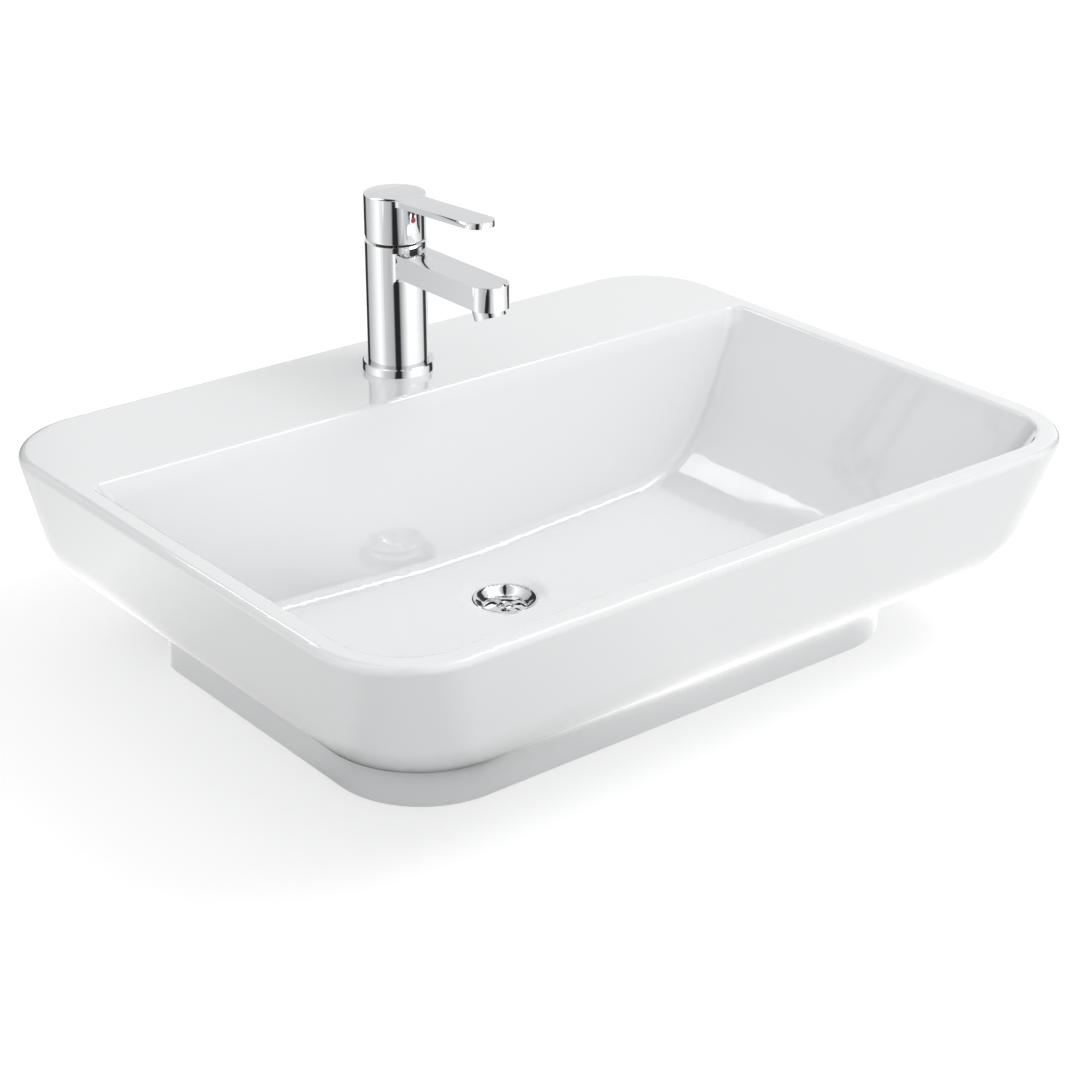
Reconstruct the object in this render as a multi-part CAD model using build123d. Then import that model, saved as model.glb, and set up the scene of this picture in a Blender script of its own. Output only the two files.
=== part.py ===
from build123d import *
import math
import os

# Wall-hung ceramic basin with a single-lever mixer tap and a free-flow grid waste.
# Millimetres, +Z up, +X to the right of someone standing at the basin, +Y towards the wall.
# The origin lies on the wall plane, midway between the two wall fixing holes.

# Basin, outside
WIDTH = 600.0              # across the rim
DEPTH = 463.0              # from the wall to the front of the rim
HEIGHT = 157.0             # from the underside of the foot to the rim
FIXING_DROP = 62.0         # from the rim down to the wall fixing holes
CORNER_R = 64.0            # plan radius of the four corners
KNUCKLE_DROP = 83.5        # where the steep wall and the underside would meet
KNUCKLE_INSET = 20.6
KNUCKLE_R = 55.0
UNDERSIDE_DROP = 140.0     # where the underside ends, inside the foot
UNDERSIDE_INSET = 98.7
KNUCKLE_STEPS = 4
BACK_GRIND = 0.01          # taken off the back where it is ground flat for the wall
RIM_OUTER_R = 5.0
RIM_INNER_R = 4.0

# Foot under the bowl
FOOT_WIDTH = 450.0
FOOT_FRONT_INSET = 89.0
FOOT_DEPTH = 289.0
FOOT_FRONT_R = 65.0
FOOT_BACK_R = 22.0
FOOT_FLARE_R = 35.0        # hollow flare from the foot up to the underside
FOOT_FLARE_ANGLE = 44.0    # steepest lean of the flare, degrees from upright
FOOT_FLARE_BELOW = 18.0    # the flare starts this far below the underside
FOOT_FLARE_ABOVE = 14.0    # and ends this far inside it
FOOT_STEPS = 9
FOOT_WALL = 14.0

# Bowl, inside
SIDE_RIM = 17.0            # width of the rim at the sides
FRONT_RIM = 17.0
LEDGE_DEPTH = 120.0        # tap ledge, from the wall to the bowl
BOWL_DROP = 137.0          # from the rim to the floor at the middle
BOWL_LEAN = 22.0           # lean of the side and front walls, degrees from upright
BOWL_SWEEP_R = 88.0        # sweep from the side walls into the floor
BOWL_FLOOR_SLOPE = 3.0     # fall of the floor towards the waste, degrees
BOWL_FLAT_HALF = 25.0      # level strip along the middle of the floor
BOWL_FLAT_FRONT = 240.0    # its front end, from the wall
BOWL_STEPS = 6
BOWL_FRONT_CORNER_R = 47.0
BOWL_BACK_FOOT_R = 9.0
LEDGE_BEVEL_Y = 5.0        # slanted band along the top of the bowl's back wall
LEDGE_BEVEL_Z = 15.0
LEDGE_BEVEL_FOOT_R = 12.0  # corner radius where the band runs out below

# Ceramic walls and the open space behind the bowl
WALL = 13.0
BACK_WALL = 12.0
LEDGE_THICKNESS = 14.0
FLOOR_THICKNESS = 12.0
SHELF_DROP = 111.0         # top of the shelf between the foot and the open space
SHELF_DEPTH = 11.0
FIXING_SPACING = 280.0
FIXING_HOLE_R = 8.0

# Tap, heights above the ledge
TAP_FROM_WALL = 63.0
TAP_HOLE_R = 17.5
TAP_R = 22.0
TAP_TOP = 96.0
SPIGOT_R = 19.0
RING_R = 26.0
RING_HEIGHT = 6.5
SEAL_THICKNESS = 1.5
SEAL_WIDTH = 3.6
RING_LAND = 1.2            # metal left inside the seal groove
SPOUT_REACH = 121.5
SPOUT_WIDTH = 28.0
SPOUT_TOP = 92.0
SPOUT_THICKNESS = 17.0
SPOUT_TIP_R = 12.5
SPOUT_FILLET_R = 6.0
SPOUT_BORE_R = 4.0
SPOUT_BORE_Z = 82.0
INLET_X = 8.0
INLET_Y = 4.0
INLET_R = 5.0
INLET_DEPTH = 12.0
CHANNEL_R = 2.8
CHANNEL_X = 7.0
FIT = 0.05                 # radial running clearance
GAP = 0.3                  # clearance between pieces that move past each other

# Aerator at the end of the spout
AERATOR_R = 11.5
AERATOR_TILT = 22.0
AERATOR_FROM_TIP = 14.5
AERATOR_OUT = 8.0
AERATOR_IN = 6.0
AERATOR_WALL = 1.6
AERATOR_CORE = 7.0
AERATOR_WASHER = 1.5
AERATOR_SLOTS = 6

# Cartridge, heights above the ledge
SEAT_Z = 66.0
CARTRIDGE_R = 14.5
SHOULDER_R = 17.5
SHOULDER_Z = 84.0
SHOULDER_HEIGHT = 6.0
HEAD_R = 13.5
HEAD_TOP = 103.0
HEAD_LIP = 1.5
HEAD_MOUTH_R = 9.8
BASE_HEIGHT = 13.0
ROTOR_BORE_R = 11.5
FIXED_DISC = 3.5
MOVING_DISC = 3.4
MOVING_DISC_R = 9.0
DISC_REST_Y = 1.8
CARRIER_HEIGHT = 4.5
CARRIER_SLOT = 2.25
PORT_R = 2.2
OUTLET_R = 3.0
OUTLET_Y = 5.5
ORING_R = 0.9
PIVOT_Z = 98.5
PIN_R = 1.5
PIN_LENGTH = 19.0
ROTOR_SLOT_X = 3.0
ROTOR_SLOT_Y = 8.5
NUT_R = 19.0
NUT_NOTCHES = 6
NUT_NOTCH = 3.0

# Lever
LIFT = 20.0                # degrees of lift from closed to full flow
HANDLE_Z = 97.0
HANDLE_TOP = 130.0
HANDLE_WALL = 3.0
HANDLE_ROOF = 5.0
HANDLE_CHAMFER = 1.6
LEVER_REACH = 108.0
LEVER_WIDTH = 23.0
LEVER_THICKNESS = 4.2
LEVER_RISE = 4.5
LEVER_TIP_R = 10.5
LEVER_ROOT_R = 3.0
SQUARE = 7.0
SQUARE_Z = 104.0
SQUARE_TOP = 121.0
HUB_X = 5.6
HUB_Y = 8.0
HUB_DROP = 4.5
ARM_R = 1.5
BALL_R = 1.9
SOCKET_WIDTH = 12.0
SOCKET_Z = 110.0
GRUB_Z = 115.0
GRUB_R = 2.0
GRUB_LENGTH = 6.0
PLUG_LENGTH = 3.0

# Tap fixing under the ledge
STUD_R = 4.0
STUD_Y = 9.0
STUD_IN = 12.0
STUD_END = 45.0            # below the ledge's top face
HORSESHOE_R = 24.0
HORSESHOE_SLOT_X = 14.5
HORSESHOE_SLOT_Y = 3.6
RUBBER_THICKNESS = 2.0
PLATE_THICKNESS = 3.0
NUT_FLATS = 13.0
NUT_HEIGHT = 8.0

# Waste
WASTE_FROM_WALL = 187.0
WASTE_HOLE_R = 21.0
RECESS_R = 33.0
RECESS_DEPTH = 2.4
FLANGE_R = 23.5
FLANGE_THICKNESS = 2.0
TOP_SEAL = 0.8
DISH_R = 16.0
DISH_DEPTH = 6.0
GRID_THICKNESS = 2.5
GRID_ARM = 5.0
GRID_ARMS = 4
GRID_HUB_R = 6.0
SCREW_HEAD_R = 4.6
SCREW_HEAD = 2.6
SCREW_R = 3.0
SCREW_LENGTH = 22.0
SCREW_HEX = 3.0            # across flats of the hexagon socket
BOTTOM_SEAL = 2.5
BODY_FLANGE_R = 30.0
BODY_FLANGE = 3.5
TAIL_R = 20.95
TAIL_WALL = 3.2
TAIL_LENGTH = 47.0
BRIDGE_HEIGHT = 8.0
BRIDGE_WIDTH = 5.0
BRIDGE_BOSS_R = 5.5

RIM_Z = FIXING_DROP
FOOT_Z = RIM_Z - HEIGHT
FLOOR_Z = RIM_Z - BOWL_DROP
UNDER_FLOOR_Z = FLOOR_Z - FLOOR_THICKNESS
TAP = Pos(0, -TAP_FROM_WALL, RIM_Z)
WASTE_Z = FLOOR_Z - RECESS_DEPTH
WASTE = Pos(0, -WASTE_FROM_WALL, WASTE_Z)
WASTE_SEAT = FLANGE_THICKNESS + TOP_SEAL


def tube(r_out, r_in, z0, z1):
    """Round tube or, with no inner radius, a round bar between two heights."""
    solid = Pos(0, 0, z0) * Cylinder(r_out, z1 - z0, align=(Align.CENTER, Align.CENTER, Align.MIN))
    if r_in > 0:
        solid -= Pos(0, 0, z0 - 1) * Cylinder(
            r_in, z1 - z0 + 2, align=(Align.CENTER, Align.CENTER, Align.MIN))
    return solid


def bar(x0, x1, y0, y1, z0, z1):
    """Square block between its low and high corners."""
    return Pos(x0, y0, z0) * Box(x1 - x0, y1 - y0, z1 - z0, align=(Align.MIN, Align.MIN, Align.MIN))


def plan(drop, inset, wall=0.0, back=0.0):
    """Plan section of the outer form, a height below the rim and an inset from its outline."""
    side = inset + wall
    width = WIDTH - 2 * side
    depth = DEPTH - side - back
    return Pos(0, -back - depth / 2, RIM_Z - drop) * RectangleRounded(width, depth, CORNER_R - wall)


def knuckle_points():
    """Drop and inset along the arc that turns the steep wall into the underside."""
    lean = math.atan2(KNUCKLE_INSET, KNUCKLE_DROP)
    under = math.atan2(UNDERSIDE_INSET - KNUCKLE_INSET, UNDERSIDE_DROP - KNUCKLE_DROP)
    run = KNUCKLE_R * math.tan((under - lean) / 2)
    drop0 = KNUCKLE_DROP - run * math.cos(lean)
    inset0 = KNUCKLE_INSET - run * math.sin(lean)
    points = []
    for step in range(KNUCKLE_STEPS + 1):
        angle = lean + (under - lean) * step / KNUCKLE_STEPS
        points.append((drop0 + KNUCKLE_R * (math.sin(angle) - math.sin(lean)),
                       inset0 + KNUCKLE_R * (math.cos(lean) - math.cos(angle))))
    return points


def outer_form(wall=0.0, back=0.0):
    """The basin's outside: steep wall, rounded knuckle and underside, upright at the wall."""
    knuckle = knuckle_points()
    first, last = knuckle[0], knuckle[-1]
    steep = loft([plan(0, 0, wall, back), plan(*first, wall, back)], ruled=True)
    turn = loft([plan(drop, inset, wall, back) for drop, inset in knuckle])
    under = loft([plan(*last, wall, back), plan(UNDERSIDE_DROP, UNDERSIDE_INSET, wall, back)],
                 ruled=True)
    return steep + turn + under


def foot_outline(inset=0.0, side=0.0, front=0.0):
    """Plan of the foot, with large front corners and small back ones."""
    low = -DEPTH + FOOT_FRONT_INSET + inset - front
    high = -DEPTH + FOOT_FRONT_INSET + FOOT_DEPTH - inset
    width = FOOT_WIDTH - 2 * inset + 2 * side
    outline = Pos(0, (low + high) / 2) * Rectangle(width, high - low)
    outline = fillet(outline.vertices().sort_by(Axis.Y)[:2], FOOT_FRONT_R - inset)
    return fillet(outline.vertices().sort_by(Axis.Y)[-2:], FOOT_BACK_R - inset / 2)


def underside_height(inset):
    """Height at which the underside reaches an inset from the rim's outline."""
    slope = (UNDERSIDE_INSET - KNUCKLE_INSET) / (UNDERSIDE_DROP - KNUCKLE_DROP)
    return RIM_Z - KNUCKLE_DROP - (inset - KNUCKLE_INSET) / slope


def flare(z, meet):
    """Growth of the foot at a height, where its wall would meet the underside at another."""
    climb = z - meet + FOOT_FLARE_BELOW
    lean = math.radians(FOOT_FLARE_ANGLE)
    arc_top = FOOT_FLARE_R * math.sin(lean)
    arc = min(max(climb, 0.0), arc_top)
    bow = FOOT_FLARE_R - math.sqrt(FOOT_FLARE_R ** 2 - arc ** 2)
    return bow + max(climb - arc_top, 0.0) * math.tan(lean)


def make_foot():
    """Foot ring before it is hollowed, flared up into the underside."""
    side_meet = underside_height((WIDTH - FOOT_WIDTH) / 2)
    front_meet = underside_height(FOOT_FRONT_INSET)
    low = front_meet - FOOT_FLARE_BELOW
    high = side_meet + FOOT_FLARE_ABOVE
    sections = []
    for step in range(FOOT_STEPS + 1):
        z = low + (high - low) * step / FOOT_STEPS
        sections.append(Pos(0, 0, z) * foot_outline(0, flare(z, side_meet), flare(z, front_meet)))
    return extrude(Pos(0, 0, FOOT_Z) * foot_outline(), low - FOOT_Z) + loft(sections)


def bowl_plan(drop, inset):
    """Plan section of the bowl, square at its back, at a height below the rim."""
    front = -DEPTH + FRONT_RIM + inset
    width = WIDTH - 2 * SIDE_RIM - 2 * inset
    length = -LEDGE_DEPTH - front
    face = Pos(0, front + length / 2, RIM_Z - drop) * Rectangle(width, length)
    return fillet(face.vertices().sort_by(Axis.Y)[:2], BOWL_FRONT_CORNER_R)


def band_plan(drop, inset, corner):
    """Plan section of the space in front of the slanted band below the ledge."""
    back = -LEDGE_DEPTH + (LEDGE_BEVEL_Z - drop) * LEDGE_BEVEL_Y / LEDGE_BEVEL_Z
    front = -LEDGE_DEPTH - 2 * BOWL_BACK_FOOT_R - corner
    width = WIDTH - 2 * SIDE_RIM - 2 * inset
    face = Pos(0, (front + back) / 2, RIM_Z - drop) * Rectangle(width, back - front)
    return fillet(face.vertices().sort_by(Axis.Y)[-2:], corner)


def sweep_points():
    """Drop and inset along the arc that turns the bowl's leaning walls into its floor."""
    lean = math.radians(BOWL_LEAN)
    flat = math.radians(90 - BOWL_FLOOR_SLOPE)
    half = WIDTH / 2 - SIDE_RIM
    fall = math.tan(math.radians(BOWL_FLOOR_SLOPE))
    meet = (half - BOWL_FLAT_HALF) * fall
    drop = (BOWL_DROP - meet) / (1 - fall * math.tan(lean))
    inset = drop * math.tan(lean)
    run = BOWL_SWEEP_R * math.tan((flat - lean) / 2)
    drop0 = drop - run * math.cos(lean)
    inset0 = inset - run * math.sin(lean)
    points = []
    for step in range(BOWL_STEPS + 1):
        angle = lean + (flat - lean) * step / BOWL_STEPS
        points.append((drop0 + BOWL_SWEEP_R * (math.sin(angle) - math.sin(lean)),
                       inset0 + BOWL_SWEEP_R * (math.cos(lean) - math.cos(angle))))
    return points


def scoop():
    """Inside of the bowl: leaning walls that sweep into a floor falling to the waste."""
    over = 20.0
    lean = math.tan(math.radians(BOWL_LEAN))
    sweep = sweep_points()
    first, last = sweep[0], sweep[-1]
    walls = loft([bowl_plan(-over, -over * lean), bowl_plan(*first)], ruled=True)
    turn = loft([bowl_plan(drop, inset) for drop, inset in sweep])
    length = BOWL_FLAT_FRONT - LEDGE_DEPTH
    strip = Pos(0, -LEDGE_DEPTH - length / 2, FLOOR_Z) * Rectangle(2 * BOWL_FLAT_HALF, length)
    strip = fillet(strip.vertices().sort_by(Axis.Y)[:2], BOWL_FLAT_HALF * 0.9)
    floor = loft([bowl_plan(*last), strip], ruled=True)
    space = walls + turn + floor
    back = space.faces().sort_by(Axis.Y)[-1]
    space = fillet(back.edges().sort_by(Axis.Z)[:-1], BOWL_BACK_FOOT_R)
    rim_plan = band_plan(0, 0, BOWL_BACK_FOOT_R)
    above = loft([band_plan(-over, -over * lean, BOWL_BACK_FOOT_R), rim_plan], ruled=True)
    band = loft([rim_plan, band_plan(LEDGE_BEVEL_Z, LEDGE_BEVEL_Z * lean, LEDGE_BEVEL_FOOT_R)],
                ruled=True)
    return space + above + band


def open_space():
    """Hollow behind the bowl for the tap's fixing and the wall bolts, open underneath."""
    form = outer_form(WALL, BACK_WALL)
    half = WIDTH / 2
    above = bar(-half, half, -LEDGE_DEPTH + WALL, 0, RIM_Z - SHELF_DROP, RIM_Z - LEDGE_THICKNESS)
    foot_back = -DEPTH + FOOT_FRONT_INSET + FOOT_DEPTH
    mouth = extrude(plan(UNDERSIDE_DROP + 5, UNDERSIDE_INSET, WALL, BACK_WALL),
                    UNDERSIDE_DROP - SHELF_DROP + 6)
    behind_foot = bar(-half, half, foot_back + SHELF_DEPTH, 0,
                      RIM_Z - UNDERSIDE_DROP - 6, RIM_Z - SHELF_DROP + 2)
    return (form & above) + (mouth & behind_foot)


def make_basin():
    """Vitreous china basin in one piece."""
    body = outer_form(0, -BACK_GRIND)
    body += make_foot()
    body -= scoop()
    top = body.faces().filter_by(Plane.XY).sort_by(Axis.Z)[-1]
    body = fillet(top.outer_wire().edges(), RIM_OUTER_R)
    top = body.faces().filter_by(Plane.XY).sort_by(Axis.Z)[-1]
    body = fillet(top.inner_wires()[0].edges(), RIM_INNER_R)
    body &= bar(-WIDTH, WIDTH, -DEPTH - 1, 0, FOOT_Z - 1, RIM_Z + 1)
    body -= open_space()
    body -= extrude(Pos(0, 0, FOOT_Z - 1) * foot_outline(FOOT_WALL), UNDER_FLOOR_Z - FOOT_Z + 1)
    body -= TAP * tube(TAP_HOLE_R, 0, -LEDGE_THICKNESS - 5, 5)
    recess = Cone(RECESS_R + 8, FLANGE_R + 0.5, RECESS_DEPTH + 2,
                  align=(Align.CENTER, Align.CENTER, Align.MIN))
    body -= WASTE * (Rot(180, 0, 0) * Pos(0, 0, -RECESS_DEPTH - 2) * recess)
    body -= WASTE * tube(FLANGE_R + GAP, 0, -WASTE_SEAT, 1)
    body -= WASTE * tube(WASTE_HOLE_R, 0, -FLOOR_THICKNESS - 5, 1)
    for side in (-1, 1):
        hole = Cylinder(FIXING_HOLE_R, BACK_WALL + 10)
        body -= Pos(side * FIXING_SPACING / 2, -BACK_WALL / 2, 0) * Rot(90, 0, 0) * hole
    return body


def make_base_ring():
    """Chromed ring between the tap and the ledge, grooved underneath for its seal."""
    ring = tube(RING_R, SPIGOT_R + FIT, 0, RING_HEIGHT)
    inner = SPIGOT_R + RING_LAND
    ring -= tube(inner + SEAL_WIDTH, inner, -1, SEAL_THICKNESS)
    ring = chamfer(ring.faces().sort_by(Axis.Z)[-1].outer_wire().edges(), 0.8)
    return TAP * ring


def make_base_seal():
    inner = SPIGOT_R + RING_LAND
    return TAP * tube(inner + SEAL_WIDTH, inner, 0, SEAL_THICKNESS)


def aerator_frame():
    """Where the aerator sits: on the spout's underside, tilted towards the bowl."""
    return Pos(0, -SPOUT_REACH + AERATOR_FROM_TIP, SPOUT_TOP - SPOUT_THICKNESS) * Rot(
        -AERATOR_TILT, 0, 0)


def make_tap_body():
    """Chromed brass body with the spout, waterways and the cartridge chamber."""
    column = tube(TAP_R, 0, RING_HEIGHT, TAP_TOP)
    spout_z = SPOUT_TOP - SPOUT_THICKNESS
    blade = Pos(0, -SPOUT_REACH / 2, spout_z) * Rectangle(SPOUT_WIDTH, SPOUT_REACH)
    blade = fillet(blade.vertices().sort_by(Axis.Y)[:2], SPOUT_TIP_R)
    spout = extrude(blade, SPOUT_THICKNESS)
    body = column + spout
    reach = math.sqrt(TAP_R ** 2 - (SPOUT_WIDTH / 2) ** 2)
    roots = [edge for edge in body.edges()
             if abs(edge.center().Z - (spout_z + SPOUT_THICKNESS / 2)) < 1
             and abs(edge.center().Y + reach) < 0.5]
    roots += [edge for edge in body.edges()
              if abs(edge.center().Z - spout_z) < 0.1 and -TAP_R - 0.5 < edge.center().Y < -reach]
    body = fillet(roots, SPOUT_FILLET_R)
    body += tube(SPIGOT_R, 0, 0, RING_HEIGHT)
    body -= tube(SHOULDER_R + 2 * FIT, 0, SEAT_Z, SHOULDER_Z + SHOULDER_HEIGHT)
    body -= tube(NUT_R + 2 * FIT, 0, SHOULDER_Z + SHOULDER_HEIGHT, TAP_TOP + 1)
    for side in (-1, 1):
        body -= Pos(side * INLET_X, INLET_Y, 0) * tube(INLET_R, 0, -1, INLET_DEPTH)
        body -= Pos(side * CHANNEL_X, INLET_Y, 0) * tube(CHANNEL_R, 0, INLET_DEPTH - 1, SEAT_Z + 1)
    body -= Pos(0, -STUD_Y, 0) * tube(STUD_R, 0, -1, STUD_IN)
    nozzle = -SPOUT_REACH + AERATOR_FROM_TIP
    waterway = Cylinder(SPOUT_BORE_R, -nozzle - CARTRIDGE_R,
                        align=(Align.CENTER, Align.CENTER, Align.MIN))
    body -= Pos(0, -CARTRIDGE_R, SPOUT_BORE_Z) * Rot(90, 0, 0) * waterway
    body -= aerator_frame() * tube(AERATOR_R + FIT, 0, -AERATOR_OUT - 5, AERATOR_IN)
    return TAP * body


def make_aerator_housing():
    """Screwed collar that holds the aerator core in the spout."""
    collar = tube(AERATOR_R, AERATOR_R - AERATOR_WALL, -AERATOR_OUT, AERATOR_IN - AERATOR_WASHER)
    lip_r = AERATOR_R - 2 * AERATOR_WALL
    collar += tube(AERATOR_R, lip_r, -AERATOR_OUT, -AERATOR_OUT + 1.2)
    return TAP * aerator_frame() * collar


def make_aerator_core():
    """Plastic jet former with a ring of slots."""
    radius = AERATOR_R - AERATOR_WALL - FIT
    low = -AERATOR_OUT + 1.2
    core = tube(radius, 0, low, low + AERATOR_CORE)
    slot = Pos(radius * 0.55, 0, low - 1) * Box(
        radius * 0.5, 2.2, AERATOR_CORE + 2, align=(Align.CENTER, Align.CENTER, Align.MIN))
    for turn in range(AERATOR_SLOTS):
        core -= Rot(0, 0, turn * 360 / AERATOR_SLOTS) * slot
    return TAP * aerator_frame() * core


def make_aerator_washer():
    washer = tube(AERATOR_R, AERATOR_R - 3.5, AERATOR_IN - AERATOR_WASHER, AERATOR_IN)
    return TAP * aerator_frame() * washer


def make_cartridge_base():
    """Bottom of the cartridge: two inlet ports and the outlet to the gallery round it."""
    base = tube(CARTRIDGE_R, 0, SEAT_Z, SEAT_Z + BASE_HEIGHT)
    for side in (-1, 1):
        port = Pos(side * CHANNEL_X, INLET_Y, 0)
        base -= port * tube(PORT_R, 0, SEAT_Z - 1, SEAT_Z + BASE_HEIGHT + 1)
        base -= port * tube(PORT_R + 2 * ORING_R, 0, SEAT_Z - 1, SEAT_Z + 2 * ORING_R)
    outlet_low = SEAT_Z + BASE_HEIGHT / 2
    base -= Pos(0, -OUTLET_Y, 0) * tube(OUTLET_R, 0, outlet_low, SEAT_Z + BASE_HEIGHT + 1)
    base -= bar(-OUTLET_R, OUTLET_R, -CARTRIDGE_R - 1, -OUTLET_Y, outlet_low, outlet_low + OUTLET_R)
    return TAP * base


def make_port_seals():
    """Two rubber rings that seal the inlet ports on the seat."""
    seals = []
    for side in (-1, 1):
        ring = tube(PORT_R + 2 * ORING_R, PORT_R, SEAT_Z, SEAT_Z + 2 * ORING_R)
        seals.append(TAP * Pos(side * CHANNEL_X, INLET_Y, 0) * ring)
    return Compound(children=seals)


def make_cartridge_housing():
    """Cartridge shell: bore for the rotor, clamping shoulder and open head."""
    low = SEAT_Z + BASE_HEIGHT
    shell = tube(CARTRIDGE_R, 0, low, SHOULDER_Z)
    shell += tube(SHOULDER_R, 0, SHOULDER_Z, SHOULDER_Z + SHOULDER_HEIGHT)
    shell += tube(HEAD_R, 0, SHOULDER_Z + SHOULDER_HEIGHT, HEAD_TOP)
    shell -= tube(ROTOR_BORE_R, 0, low - 1, HEAD_TOP - HEAD_LIP)
    shell -= tube(HEAD_MOUTH_R, 0, HEAD_TOP - HEAD_LIP - 1, HEAD_TOP + 1)
    return TAP * shell


def fixed_disc_top():
    return SEAT_Z + BASE_HEIGHT + FIXED_DISC


def carrier_top():
    return fixed_disc_top() + FIT + MOVING_DISC + CARRIER_HEIGHT


def ball_z():
    """Height of the spindle's lower ball, in the middle of the carrier's pocket."""
    return carrier_top() - CARRIER_HEIGHT / 2


def make_fixed_disc():
    """Ceramic disc with the hot, cold and mixed water ports."""
    disc = tube(ROTOR_BORE_R - 2 * FIT, 0, SEAT_Z + BASE_HEIGHT, fixed_disc_top())
    for side in (-1, 1):
        disc -= Pos(side * CHANNEL_X, INLET_Y, 0) * tube(PORT_R, 0, SEAT_Z, HEAD_TOP)
    disc -= Pos(0, -OUTLET_Y, 0) * tube(OUTLET_R, 0, SEAT_Z, HEAD_TOP)
    return TAP * disc


def make_moving_disc():
    """Ceramic disc that the lever slides and turns over the fixed one."""
    low = fixed_disc_top() + FIT
    disc = Pos(0, DISC_REST_Y, 0) * tube(MOVING_DISC_R, 0, low, low + MOVING_DISC)
    hollow = SlotOverall(2 * OUTLET_R + 7.0, 2 * OUTLET_R, rotation=90)
    disc -= extrude(Pos(0, DISC_REST_Y - 2.0, low) * hollow, MOVING_DISC * 0.6)
    return TAP * disc


def make_disc_carrier():
    """Plastic carrier that keys the moving disc to the spindle's ball."""
    low = fixed_disc_top() + FIT + MOVING_DISC
    carrier = Pos(0, DISC_REST_Y, 0) * tube(MOVING_DISC_R, 0, low, carrier_top())
    carrier -= bar(-CARRIER_SLOT, CARRIER_SLOT, -CARRIER_SLOT, CARRIER_SLOT, low - 1, carrier_top() + 1)
    return TAP * carrier


def make_rotor():
    """Plastic turret that turns with the lever and holds its pin."""
    low = carrier_top() + GAP
    rotor = tube(ROTOR_BORE_R - FIT, 0, low, HEAD_TOP - HEAD_LIP - FIT)
    rotor -= bar(-ROTOR_SLOT_X, ROTOR_SLOT_X, -ROTOR_SLOT_Y, ROTOR_SLOT_Y, low - 1, HEAD_TOP)
    rotor -= Pos(0, 0, PIVOT_Z) * Rot(0, 90, 0) * Cylinder(PIN_R, PIN_LENGTH)
    return TAP * rotor


def make_lever_pin():
    return TAP * Pos(0, 0, PIVOT_Z) * Rot(0, 90, 0) * Cylinder(PIN_R, PIN_LENGTH)


def make_spindle():
    """Lever spindle: square for the handle, hub on the pin, arm and ball below."""
    hub = bar(-HUB_X / 2, HUB_X / 2, -HUB_Y / 2, HUB_Y / 2, PIVOT_Z - HUB_DROP, SQUARE_Z)
    square = bar(-SQUARE / 2, SQUARE / 2, -SQUARE / 2, SQUARE / 2, SQUARE_Z, SQUARE_TOP)
    arm = tube(ARM_R, 0, ball_z(), PIVOT_Z - HUB_DROP + 1)
    spindle = hub + square + arm + Pos(0, 0, ball_z()) * Sphere(BALL_R)
    spindle -= Pos(0, 0, PIVOT_Z) * Rot(0, 90, 0) * Cylinder(PIN_R + FIT, 2 * SQUARE)
    return TAP * spindle


def make_cartridge_nut():
    """Ring nut that clamps the cartridge's shoulder, with spanner notches."""
    low = SHOULDER_Z + SHOULDER_HEIGHT
    nut = tube(NUT_R, HEAD_R + 2 * FIT, low, TAP_TOP)
    notch = bar(HEAD_R - 1, HEAD_R + NUT_NOTCH, -NUT_NOTCH / 2, NUT_NOTCH / 2, TAP_TOP - 2.5, TAP_TOP + 1)
    for turn in range(NUT_NOTCHES):
        nut -= Rot(0, 0, turn * 360 / NUT_NOTCHES) * notch
    return TAP * nut


def make_handle():
    """Cup-shaped lever handle with a flat paddle and the spindle's socket."""
    cup = tube(TAP_R, 0, HANDLE_Z, HANDLE_TOP)
    slope = math.degrees(math.atan2(LEVER_RISE, LEVER_REACH - TAP_R))
    blade = Pos(0, -LEVER_REACH / 2) * Rectangle(LEVER_WIDTH, LEVER_REACH)
    blade = fillet(blade.vertices().sort_by(Axis.Y)[:2], LEVER_TIP_R)
    paddle = extrude(blade, -LEVER_THICKNESS)
    paddle = Pos(0, -TAP_R, HANDLE_TOP) * Rot(-slope, 0, 0) * Pos(0, TAP_R, 0) * paddle
    paddle -= bar(-TAP_R, TAP_R, -TAP_R * 0.6, TAP_R, HANDLE_Z, HANDLE_TOP + LEVER_REACH)
    handle = cup + paddle
    root_y = math.sqrt(TAP_R ** 2 - (LEVER_WIDTH / 2) ** 2)
    roots = [edge for edge in handle.edges()
             if abs(edge.center().Y + root_y) < 0.6 and abs(abs(edge.center().X) - LEVER_WIDTH / 2) < 0.6
             and abs(edge.tangent_at(0.5).Z) > 0.9]
    handle = fillet(roots, LEVER_ROOT_R)
    bottom = handle.faces().sort_by(Axis.Z)[0]
    handle = chamfer(bottom.outer_wire().edges(), HANDLE_CHAMFER)
    inner_r = TAP_R - HANDLE_WALL
    roof = HANDLE_TOP - HANDLE_ROOF
    socket = bar(-SOCKET_WIDTH / 2, SOCKET_WIDTH / 2, -inner_r, SOCKET_WIDTH / 2, SOCKET_Z, roof)
    handle -= tube(inner_r, 0, HANDLE_Z - 1, roof) - socket
    half = SQUARE / 2 + FIT
    handle -= bar(-half, half, -half, half, SOCKET_Z - 1, SQUARE_TOP + GAP)
    screw_way = Cylinder(GRUB_R + FIT, TAP_R, align=(Align.CENTER, Align.CENTER, Align.MIN))
    handle -= Pos(0, 0, GRUB_Z) * Rot(90, 0, 0) * screw_way
    relief = Box(3 * TAP_R, 2 * TAP_R, TAP_R, align=(Align.CENTER, Align.MIN, Align.MAX))
    handle -= Pos(0, 0, HANDLE_Z) * Rot(LIFT + 1, 0, 0) * relief
    return TAP * handle


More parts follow.
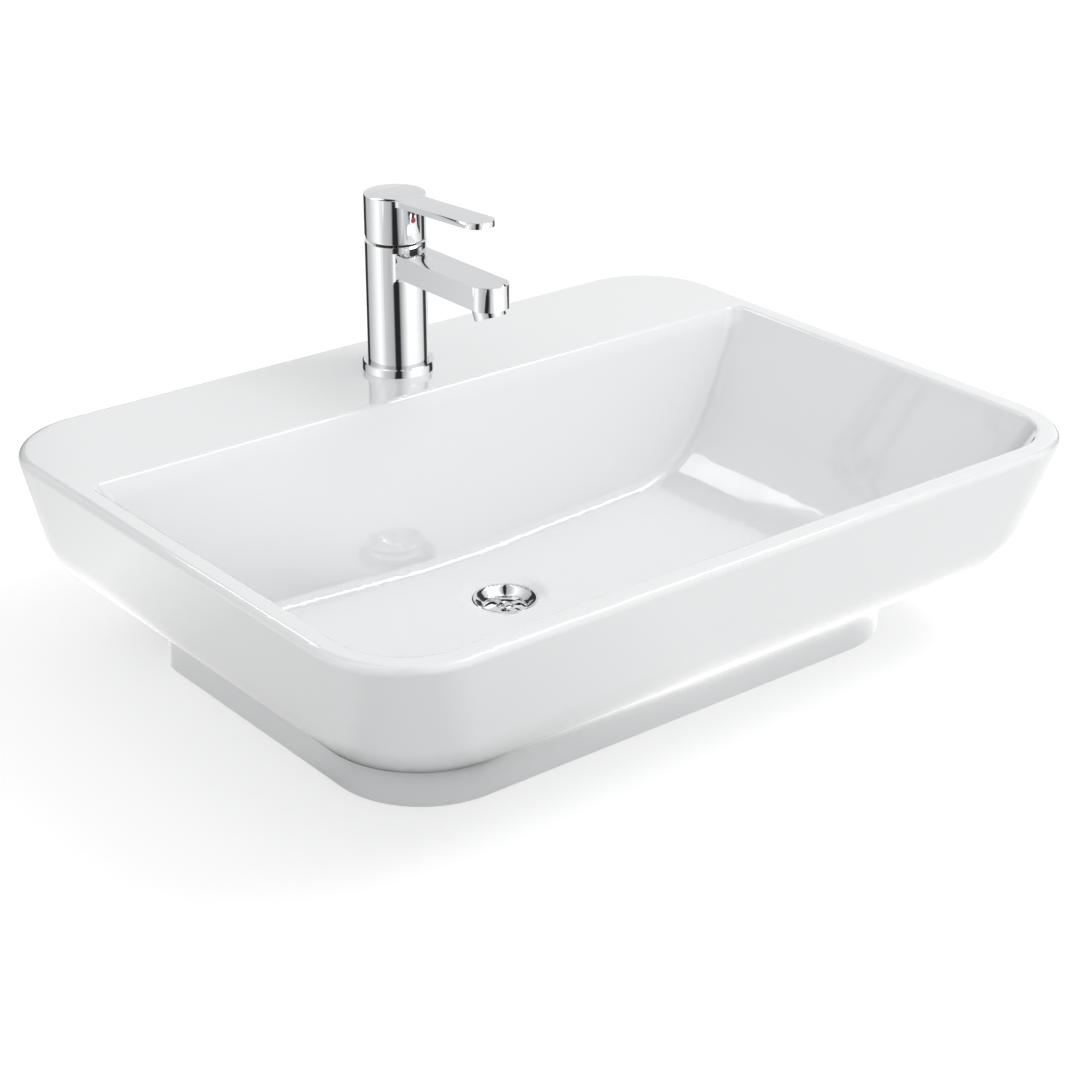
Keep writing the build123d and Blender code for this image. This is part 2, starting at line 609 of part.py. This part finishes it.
def make_grub_screw():
    screw = Cylinder(GRUB_R, GRUB_LENGTH, align=(Align.CENTER, Align.CENTER, Align.MIN))
    socket = extrude(RegularPolygon(1.15, 6), 2.0)
    screw -= Pos(0, 0, GRUB_LENGTH - 2.0) * socket
    return TAP * Pos(0, -SQUARE / 2, GRUB_Z) * Rot(90, 0, 0) * screw


def make_indicator_plug():
    """Coloured cap over the grub screw, flush with the handle."""
    plug = Cylinder(GRUB_R, 2 * TAP_R, align=(Align.CENTER, Align.CENTER, Align.MIN))
    plug = Pos(0, 0, GRUB_Z) * Rot(90, 0, 0) * plug
    return TAP * (plug & tube(TAP_R + 0.1, TAP_R - PLUG_LENGTH, HANDLE_Z, HANDLE_TOP))


def make_fixing_stud():
    stud = tube(STUD_R, 0, -STUD_END, STUD_IN)
    stud = chamfer(stud.edges().sort_by(Axis.Z)[0], 0.8)
    return TAP * Pos(0, -STUD_Y, 0) * stud


def horseshoe(z_top, thickness):
    """Open washer that clears the two supply hoses."""
    shoe = tube(HORSESHOE_R, 0, z_top - thickness, z_top)
    shoe -= bar(-HORSESHOE_SLOT_X, HORSESHOE_SLOT_X, -HORSESHOE_SLOT_Y, HORSESHOE_R + 1,
                z_top - thickness - 1, z_top + 1)
    shoe -= Pos(0, -STUD_Y, 0) * tube(STUD_R + FIT, 0, z_top - thickness - 1, z_top + 1)
    return TAP * shoe


def make_fixing_nut():
    top = -LEDGE_THICKNESS - RUBBER_THICKNESS - PLATE_THICKNESS
    nut = extrude(RegularPolygon(NUT_FLATS / 2, 6, major_radius=False), -NUT_HEIGHT)
    nut -= tube(STUD_R + FIT, 0, -NUT_HEIGHT - 1, 1)
    return TAP * Pos(0, -STUD_Y, top) * nut


def make_waste_grid():
    """Chromed dish with a cross-shaped grid and a seat for the centre screw."""
    lip = FLANGE_R - 1.5
    with BuildSketch(Plane.XZ) as section:
        with BuildLine():
            Polyline((0, -DISH_DEPTH - GRID_THICKNESS), (DISH_R + 1.5, -DISH_DEPTH - GRID_THICKNESS),
                     (WASTE_HOLE_R - GAP, -FLANGE_THICKNESS - 2.5),
                     (WASTE_HOLE_R - GAP, -FLANGE_THICKNESS), (FLANGE_R, -FLANGE_THICKNESS),
                     (FLANGE_R, -0.6), (FLANGE_R - 0.6, 0), (lip, 0),
                     (DISH_R, -DISH_DEPTH), (GRID_HUB_R, -DISH_DEPTH), (GRID_HUB_R - 1, -DISH_DEPTH + 1.2),
                     (0, -DISH_DEPTH + 1.2), close=True)
        make_face()
    dish = revolve(section.sketch, Axis.Z)
    window = tube(DISH_R - 0.8, GRID_HUB_R, -DISH_DEPTH - GRID_THICKNESS - 1, -DISH_DEPTH + 0.5)
    for arm in range(GRID_ARMS // 2):
        window -= Rot(0, 0, arm * 360 / GRID_ARMS) * bar(
            -DISH_R, DISH_R, -GRID_ARM / 2, GRID_ARM / 2, -DISH_DEPTH - GRID_THICKNESS - 2, 1)
    dish -= window
    seat = -DISH_DEPTH + 1.2
    dish -= tube(SCREW_R + FIT, 0, -DISH_DEPTH - GRID_THICKNESS - 1, 0)
    dish -= Pos(0, 0, seat - SCREW_HEAD / 2) * Cone(
        SCREW_R + FIT, SCREW_HEAD_R, SCREW_HEAD / 2, align=(Align.CENTER, Align.CENTER, Align.MIN))
    return WASTE * dish


def make_waste_screw():
    """Raised countersunk screw that pulls the grid and the waste body together."""
    seat = -DISH_DEPTH + 1.2
    rise = SCREW_HEAD / 2
    head_r = SCREW_HEAD_R - FIT
    dome_r = (head_r ** 2 + rise ** 2) / (2 * rise)
    screw = tube(SCREW_R, 0, seat - SCREW_LENGTH, seat)
    screw += Pos(0, 0, seat - rise) * Cone(
        SCREW_R, head_r, rise, align=(Align.CENTER, Align.CENTER, Align.MIN))
    screw += tube(head_r, 0, seat, seat + rise) & Pos(0, 0, seat + rise - dome_r) * Sphere(dome_r)
    socket = extrude(RegularPolygon(SCREW_HEX / 2, 6, major_radius=False), -1.8)
    return WASTE * (screw - Pos(0, 0, seat + rise) * socket)


def make_waste_top_seal():
    return WASTE * tube(FLANGE_R, WASTE_HOLE_R, -WASTE_SEAT, -FLANGE_THICKNESS)


def make_waste_bottom_seal():
    drop = UNDER_FLOOR_Z - WASTE_Z
    return WASTE * tube(BODY_FLANGE_R - 1, TAIL_R, drop - BOTTOM_SEAL, drop)


def make_waste_body():
    """Lower half of the waste: clamping flange, screw bridge and tail for the trap."""
    top = UNDER_FLOOR_Z - WASTE_Z - BOTTOM_SEAL
    low = top - BODY_FLANGE
    inner = TAIL_R - TAIL_WALL
    body = tube(BODY_FLANGE_R, inner, low, top)
    body += tube(TAIL_R, inner, low - TAIL_LENGTH, low)
    bridge = bar(-inner - 1, inner + 1, -BRIDGE_WIDTH / 2, BRIDGE_WIDTH / 2, top - BRIDGE_HEIGHT, top)
    bridge += tube(BRIDGE_BOSS_R, 0, top - BRIDGE_HEIGHT, top)
    body += bridge
    body -= tube(SCREW_R, 0, top - BRIDGE_HEIGHT - 1, top + 1)
    return WASTE * body


NODES = {
    "basin": make_basin,
    "base_ring": make_base_ring,
    "base_seal": make_base_seal,
    "tap_body": make_tap_body,
    "aerator_housing": make_aerator_housing,
    "aerator_core": make_aerator_core,
    "aerator_washer": make_aerator_washer,
    "cartridge_base": make_cartridge_base,
    "port_seals": make_port_seals,
    "cartridge_housing": make_cartridge_housing,
    "fixed_disc": make_fixed_disc,
    "moving_disc": make_moving_disc,
    "disc_carrier": make_disc_carrier,
    "rotor": make_rotor,
    "lever_pin": make_lever_pin,
    "spindle": make_spindle,
    "cartridge_nut": make_cartridge_nut,
    "handle": make_handle,
    "grub_screw": make_grub_screw,
    "indicator_plug": make_indicator_plug,
    "fixing_stud": make_fixing_stud,
    "fixing_rubber": lambda: horseshoe(-LEDGE_THICKNESS, RUBBER_THICKNESS),
    "fixing_plate": lambda: horseshoe(-LEDGE_THICKNESS - RUBBER_THICKNESS, PLATE_THICKNESS),
    "fixing_nut": make_fixing_nut,
    "waste_grid": make_waste_grid,
    "waste_screw": make_waste_screw,
    "waste_top_seal": make_waste_top_seal,
    "waste_bottom_seal": make_waste_bottom_seal,
    "waste_body": make_waste_body,
}

os.makedirs("parts", exist_ok=True)
for name, make in NODES.items():
    export_step(make(), f"parts/{name}.step")
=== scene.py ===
import math

import bmesh
import bpy
import numpy as np
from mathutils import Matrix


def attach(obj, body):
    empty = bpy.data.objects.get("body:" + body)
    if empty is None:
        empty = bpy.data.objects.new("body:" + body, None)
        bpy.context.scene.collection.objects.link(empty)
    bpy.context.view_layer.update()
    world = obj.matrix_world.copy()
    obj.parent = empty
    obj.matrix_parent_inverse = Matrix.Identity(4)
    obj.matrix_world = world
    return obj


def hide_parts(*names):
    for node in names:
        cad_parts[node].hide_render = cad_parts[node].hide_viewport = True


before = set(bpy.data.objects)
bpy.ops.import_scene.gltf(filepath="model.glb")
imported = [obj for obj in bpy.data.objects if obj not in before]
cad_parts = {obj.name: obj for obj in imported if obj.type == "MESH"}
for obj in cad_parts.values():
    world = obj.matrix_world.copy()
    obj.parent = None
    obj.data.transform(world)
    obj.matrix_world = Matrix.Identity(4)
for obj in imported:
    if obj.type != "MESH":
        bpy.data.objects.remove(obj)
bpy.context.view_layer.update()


# Basin
# One piece of vitreous china, slip cast in a plaster mould and fired with a clear gloss glaze.
# It hangs on two wall bolts and has a tap ledge at the back and a low foot ring below.
BASIN_SMOOTH_ANGLE = 35.0  # degrees, more than the steps of its curved walls turn
CHINA_COLOUR = "F4F5F6"
CHINA_ROUGHNESS = 0.10
GLAZE_WAVE = 22.0          # mm between the slow swells of a fired glaze
GLAZE_DEPTH = 0.012        # mm, how deep they are
JOIN_DISTANCE = 1e-6       # m, corners nearer than this are one
NOISE_LOW, NOISE_HIGH = 0.3, 0.7
SMOOTHEST = 0.02           # the least roughness that any finish reaches
COAT_ROUGHNESS = 0.03


def linear(code):
    """Colour of an sRGB hex code: c / 12.92 up to 0.04045, and ((c + 0.055) / 1.055) ** 2.4 above it."""
    parts = [int(code[i:i + 2], 16) / 255 for i in (0, 2, 4)]
    return [c / 12.92 if c <= 0.04045 else ((c + 0.055) / 1.055) ** 2.4 for c in parts] + [1.0]


def add(tree, kind, links=None, values=None, **settings):
    """One node of a kind: settings are its own properties, values its input sockets, and links
    joins each named input to another node's output, given as (node, output name)."""
    made = tree.nodes.new(kind)
    for name, value in settings.items():
        setattr(made, name, value)
    for name, value in (values or {}).items():
        made.inputs[name].default_value = value
    for name, (source, output) in (links or {}).items():
        tree.links.new(source.outputs[output], made.inputs[name])
    return made


def finish_of(name, colour, roughness, wave, depth, bump=0.2, metallic=0.0, coat=0.0, spread=0.04):
    """Material of one finish: a plain shader whose roughness varies by spread over a noise with
    a period of wave mm, and whose surface swells by depth mm over the same noise."""
    made = bpy.data.materials.new(name)
    made.use_nodes = True
    tree = made.node_tree
    tree.nodes.clear()
    place = add(tree, "ShaderNodeTexCoord")
    noise = add(tree, "ShaderNodeTexNoise", {"Vector": (place, "Object")},
                {"Scale": 1000 / wave, "Detail": 3.0, "Roughness": 0.5})
    rough = add(tree, "ShaderNodeMapRange", {"Value": (noise, "Fac")},
                {"From Min": NOISE_LOW, "From Max": NOISE_HIGH,
                 "To Min": max(roughness - spread, SMOOTHEST), "To Max": roughness + spread})
    swell = add(tree, "ShaderNodeBump", {"Height": (noise, "Fac")},
                {"Strength": bump, "Distance": depth / 1000})
    shader = add(tree, "ShaderNodeBsdfPrincipled",
                 {"Roughness": (rough, "Result"), "Normal": (swell, "Normal")},
                 {"Base Color": linear(colour), "Metallic": metallic, "Coat Weight": coat,
                  "Coat Roughness": COAT_ROUGHNESS})
    add(tree, "ShaderNodeOutputMaterial", {"Surface": (shader, "BSDF")})
    return made


def joined_copy(node, body, angle, material):
    """Copy of a CAD node's mesh with its loose triangles joined, shaded smooth over edges that
    turn less than angle degrees, with each normal weighted by the area of the faces round it."""
    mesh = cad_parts[node].data.copy()
    work = bmesh.new()
    work.from_mesh(mesh)
    bmesh.ops.remove_doubles(work, verts=work.verts, dist=JOIN_DISTANCE)
    work.to_mesh(mesh)
    work.free()
    mesh.materials.clear()
    mesh.materials.append(material)
    mesh.shade_smooth()
    mesh.set_sharp_from_angle(angle=math.radians(angle))
    piece = bpy.data.objects.new(node + "_finish", mesh)
    bpy.context.scene.collection.objects.link(piece)
    weighted = piece.modifiers.new("weighted", "WEIGHTED_NORMAL")
    weighted.keep_sharp = True
    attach(piece, body)
    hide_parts(node)
    return piece


# Vitreous china under a fired glaze: near white, with a clear gloss that swells a little.
glazed_china = finish_of("glazed_vitreous_china", CHINA_COLOUR, CHINA_ROUGHNESS, GLAZE_WAVE,
                         GLAZE_DEPTH, bump=0.15, coat=0.5, spread=0.03)
basin = joined_copy("basin", "fixture", BASIN_SMOOTH_ANGLE, glazed_china)
# Polished faces look past the basin to the floor and the flags round the set.
basin.visible_glossy = False


# Tap body, its foot ring and the aerator collar
# Brass castings, ground, polished and plated with bright chrome over nickel.
# The body is drawn down on the ledge by a stud from below, and the collar screws into the spout.
CHROME_COLOUR = "DADBDD"
CHROME_ROUGHNESS = 0.035
METAL_SMOOTH_ANGLE = 30.0
# Bright chrome plate: a near mirror, faintly blue, that shows the dark flags.
chromed_brass = finish_of("polished_chrome_plate", CHROME_COLOUR, CHROME_ROUGHNESS, 9.0, 0.002,
                          bump=0.1, metallic=1.0, spread=0.012)
for node in ("tap_body", "base_ring", "aerator_housing"):
    joined_copy(node, "fixture", METAL_SMOOTH_ANGLE, chromed_brass)


# Lever handle
# A zinc casting plated like the body, fixed on the cartridge's square by a grub screw.
# A small plug of glossy red plastic covers the screw.


def dress(material, *nodes):
    """Gives CAD nodes that keep their own mesh one material."""
    for node in nodes:
        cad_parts[node].data.materials.clear()
        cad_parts[node].data.materials.append(material)


joined_copy("handle", "lever", METAL_SMOOTH_ANGLE, chromed_brass)
red_plastic = finish_of("red_gloss_plastic", "B5403A", 0.25, 3.0, 0.003)
dress(red_plastic, "indicator_plug")


# Lever spindle, its pin and the grub screw
# Turned and milled steel, zinc plated, hidden in the handle and the cartridge's head.
# The grub screw clamps the handle on the spindle's square, and the pin is pressed into the rotor.
# Zinc plate: a grey metal with a soft, uneven shine.
plated_steel = finish_of("zinc_plated_steel", "A9ABAE", 0.28, 2.5, 0.004, metallic=1.0, spread=0.08)
dress(plated_steel, "spindle", "lever_pin", "grub_screw")


# Cartridge
# Housing, base, rotor and disc carrier are moulded acetal, and the two discs are lapped alumina.
# The brass ring nut clamps the housing's shoulder in the body.
# Moulded acetal looks off-white and satin, lapped alumina cream and smooth, turned brass a soft yellow.
moulded_acetal = finish_of("moulded_white_acetal", "E4E4DF", 0.42, 1.6, 0.010, spread=0.06)
lapped_alumina = finish_of("lapped_alumina_disc", "EFECE4", 0.16, 0.8, 0.002, spread=0.05)
turned_brass = finish_of("turned_brass", "C9A45C", 0.30, 1.2, 0.004, metallic=1.0, spread=0.08)
dress(moulded_acetal, "cartridge_base", "cartridge_housing", "rotor", "disc_carrier")
dress(lapped_alumina, "fixed_disc", "moving_disc")
dress(turned_brass, "cartridge_nut")


# Seals and the aerator's core
# Moulded nitrile rubber rings and washers, dull black, pressed between the faces they seal.
# The jet former is grey acetal, held in the collar.
nitrile_rubber = finish_of("moulded_nitrile_rubber", "232427", 0.62, 0.9, 0.020, spread=0.08)
grey_acetal = finish_of("moulded_grey_acetal", "8E9296", 0.40, 1.2, 0.010, spread=0.06)
dress(nitrile_rubber, "base_seal", "aerator_washer", "port_seals", "fixing_rubber",
      "waste_top_seal", "waste_bottom_seal")
dress(grey_acetal, "aerator_core")


# Tap fixing under the ledge
# A turned brass stud screwed into the body, and a brass nut run up it from below.
# Between them and the ledge lie a rubber and a pressed steel plate, both open for the hoses.
dress(turned_brass, "fixing_stud", "fixing_nut")
dress(plated_steel, "fixing_plate")


# Waste
# A pressed brass dish with a cross of four arms, chromed, on a rubber ring in the bowl's floor.
# Its screw draws the chromed waste body up against the underside.
for node in ("waste_grid", "waste_screw", "waste_body"):
    joined_copy(node, "fixture", METAL_SMOOTH_ANGLE, chromed_brass)


# Floor and light
# A white studio floor under a soft dome that is brighter at the front, with one large soft box.
# Dark flags stand round the set, out of view, and two small strips put highlights on the glaze.
# Only polished faces show the flags and the strips.
FLOOR_Z = -0.095           # m, the underside of the foot
FLOOR_HALF = 6.0           # m, from its middle to each side
FLOOR_WHITE = 0.76         # share of light that the floor throws back
FLOOR_GLOW = 0.42          # added for the camera alone, to bring it up to white
WHITE = (1, 1, 1, 1)
TAP_AXIS = (0.0, -0.063, 0.0)
TO_CAMERA = (-0.6236, -0.7817, 0.0)
CAMERA_RIGHT = (0.7817, -0.6236, 0.0)
SET_BRIGHT = 1.5           # what a share of 1 gives to a polished face
# Degrees to the right of the photograph's viewpoint, and the share of SET_BRIGHT seen there.
FLAGS = ((-180, 0.60), (-168, 0.62), (-164, 0.03), (-132, 0.03), (-126, 0.42), (-103, 0.55), (-64, 1.0),
         (-40, 0.55), (-12, 0.40), (-6, 0.02), (11, 0.02), (16, 0.32), (42, 0.95), (75, 0.95), (112, 0.60),
         (118, 0.04), (136, 0.04), (143, 0.70), (160, 0.62), (180, 0.60))


def flags(tree, place, output):
    """Brightness of the set for a direction: its angle from the camera's own, to the right, by
    atan2 of the parts along the camera's right and towards it, looked up between the flags."""
    across = add(tree, "ShaderNodeVectorMath", {0: (place, output)}, {1: CAMERA_RIGHT},
                 operation="DOT_PRODUCT")
    along = add(tree, "ShaderNodeVectorMath", {0: (place, output)}, {1: TO_CAMERA},
                operation="DOT_PRODUCT")
    turn = add(tree, "ShaderNodeMath", {0: (across, "Value"), 1: (along, "Value")}, operation="ARCTAN2")
    share = add(tree, "ShaderNodeMapRange", {"Value": (turn, "Value")},
                {"From Min": -math.pi, "From Max": math.pi})
    bands = add(tree, "ShaderNodeValToRGB", {"Fac": (share, "Result")})
    stops = bands.color_ramp.elements
    for stop, (angle, level) in zip((stops[0], stops[1]), (FLAGS[0], FLAGS[-1])):
        stop.position = (angle + 180) / 360
        stop.color = (level, level, level, 1)
    for angle, level in FLAGS[1:-1]:
        stops.new((angle + 180) / 360).color = (level, level, level, 1)
    return bands


mesh = bpy.data.meshes.new("floor")
floor_corners = [(x * FLOOR_HALF, y * FLOOR_HALF, FLOOR_Z) for x, y in ((-1, -1), (1, -1), (1, 1), (-1, 1))]
mesh.from_pydata(floor_corners, [], [(0, 1, 2, 3)])
floor = bpy.data.objects.new("floor", mesh)
bpy.context.scene.collection.objects.link(floor)
floor_paint = bpy.data.materials.new("white_studio_floor")
floor_paint.use_nodes = True
tree = floor_paint.node_tree
tree.nodes.clear()
path = add(tree, "ShaderNodeLightPath")
place = add(tree, "ShaderNodeTexCoord")
around = add(tree, "ShaderNodeVectorMath", {0: (place, "Object")}, {1: TAP_AXIS}, operation="SUBTRACT")
floor_colour = (FLOOR_WHITE, FLOOR_WHITE, FLOOR_WHITE, 1)
diffuse = add(tree, "ShaderNodeBsdfDiffuse", values={"Color": floor_colour})
glow = add(tree, "ShaderNodeEmission", values={"Color": WHITE, "Strength": FLOOR_GLOW})
both = add(tree, "ShaderNodeAddShader", {0: (diffuse, "BSDF"), 1: (glow, "Emission")})
seen = add(tree, "ShaderNodeMixShader",
           {"Fac": (path, "Is Camera Ray"), 1: (diffuse, "BSDF"), 2: (both, "Shader")})
mirrored = add(tree, "ShaderNodeEmission", {"Color": (flags(tree, around, "Vector"), "Color")},
               {"Strength": SET_BRIGHT})
mix = add(tree, "ShaderNodeMixShader",
          {"Fac": (path, "Is Glossy Ray"), 1: (seen, "Shader"), 2: (mirrored, "Emission")})
add(tree, "ShaderNodeOutputMaterial", {"Surface": (mix, "Shader")})
mesh.materials.append(floor_paint)

DOME = 0.77                # brightness of the dome at its top
DOME_LEAN = 0.14           # how much brighter the dome is at the front than at its top
TO_FRONT = (0.0, -1.0, 0.0)
world = bpy.data.worlds.new("studio")
bpy.context.scene.world = world
world.use_nodes = True
tree = world.node_tree
tree.nodes.clear()
path = add(tree, "ShaderNodeLightPath")
place = add(tree, "ShaderNodeTexCoord")
towards = add(tree, "ShaderNodeVectorMath", {0: (place, "Object")}, {1: TO_FRONT}, operation="DOT_PRODUCT")
level = add(tree, "ShaderNodeMath", {0: (towards, "Value")}, {1: DOME_LEAN, 2: DOME},
            operation="MULTIPLY_ADD")
soft = add(tree, "ShaderNodeBackground", {"Strength": (level, "Value")}, {"Color": WHITE})
mirrored = add(tree, "ShaderNodeBackground", {"Color": (flags(tree, place, "Object"), "Color")},
               {"Strength": SET_BRIGHT})
lit = add(tree, "ShaderNodeMixShader",
          {"Fac": (path, "Is Glossy Ray"), 1: (soft, "Background"), 2: (mirrored, "Background")})
white = add(tree, "ShaderNodeBackground", values={"Color": WHITE, "Strength": 1.0})
seen = add(tree, "ShaderNodeMath", {0: (path, "Is Camera Ray"), 1: (path, "Is Transmission Ray")},
           operation="MAXIMUM")
mix = add(tree, "ShaderNodeMixShader",
          {"Fac": (seen, "Value"), 1: (lit, "Shader"), 2: (white, "Background")})
add(tree, "ShaderNodeOutputWorld", {"Surface": (mix, "Shader")})


def aim(item, spot, target):
    """Puts a lamp or camera at a spot and turns its -Z axis to the target, with +Z kept upright."""
    back = np.subtract(spot, target) / np.linalg.norm(np.subtract(spot, target))
    right = np.cross((0, 0, 1), back)
    right = right / np.linalg.norm(right)
    turn = np.eye(4)
    turn[:3, 0], turn[:3, 1], turn[:3, 2], turn[:3, 3] = right, np.cross(back, right), back, spot
    item.matrix_world = turn.T.tolist()


BOWL_MIDDLE = (0, -0.25, 0)
# Name, spot, width and height in metres, watts, and whether only polished faces show it.
SOFT_BOXES = (("soft_box", (0.9, -1.0, 1.6), 1.2, 0.7, 8.0, False),
              ("front_strip", (1.13, -0.97, 1.48), 0.30, 0.30, 5.0, True),
              ("rear_strip", (-0.16, 1.25, 1.40), 0.60, 0.30, 2.0, True))
for name, spot, width, height, watts, shine_only in SOFT_BOXES:
    lamp = bpy.data.lights.new(name, "AREA")
    lamp.shape = "RECTANGLE"
    lamp.size, lamp.size_y, lamp.energy = width, height, watts
    box = bpy.data.objects.new(name, lamp)
    box.visible_diffuse = not shine_only
    bpy.context.scene.collection.objects.link(box)
    aim(box, spot, BOWL_MIDDLE)


# Camera
# A short telephoto lens from the front left, looking down into the bowl.
CAMERA_SPOT = (-0.974, -1.448, 0.699)
CAMERA_YAW, CAMERA_PITCH = 38.58, 24.65
CAMERA_LENS, SENSOR_WIDTH = 82.9, 36.0
yaw, pitch = math.radians(CAMERA_YAW), math.radians(CAMERA_PITCH)
look = np.array((math.sin(yaw) * math.cos(pitch), math.cos(yaw) * math.cos(pitch), -math.sin(pitch)))
lens = bpy.data.cameras.new("camera")
lens.lens, lens.sensor_width = CAMERA_LENS, SENSOR_WIDTH
camera = bpy.data.objects.new("camera", lens)
bpy.context.scene.collection.objects.link(camera)
aim(camera, CAMERA_SPOT, np.add(CAMERA_SPOT, look))
bpy.context.scene.camera = camera
bpy.context.scene.view_settings.view_transform = "Standard"
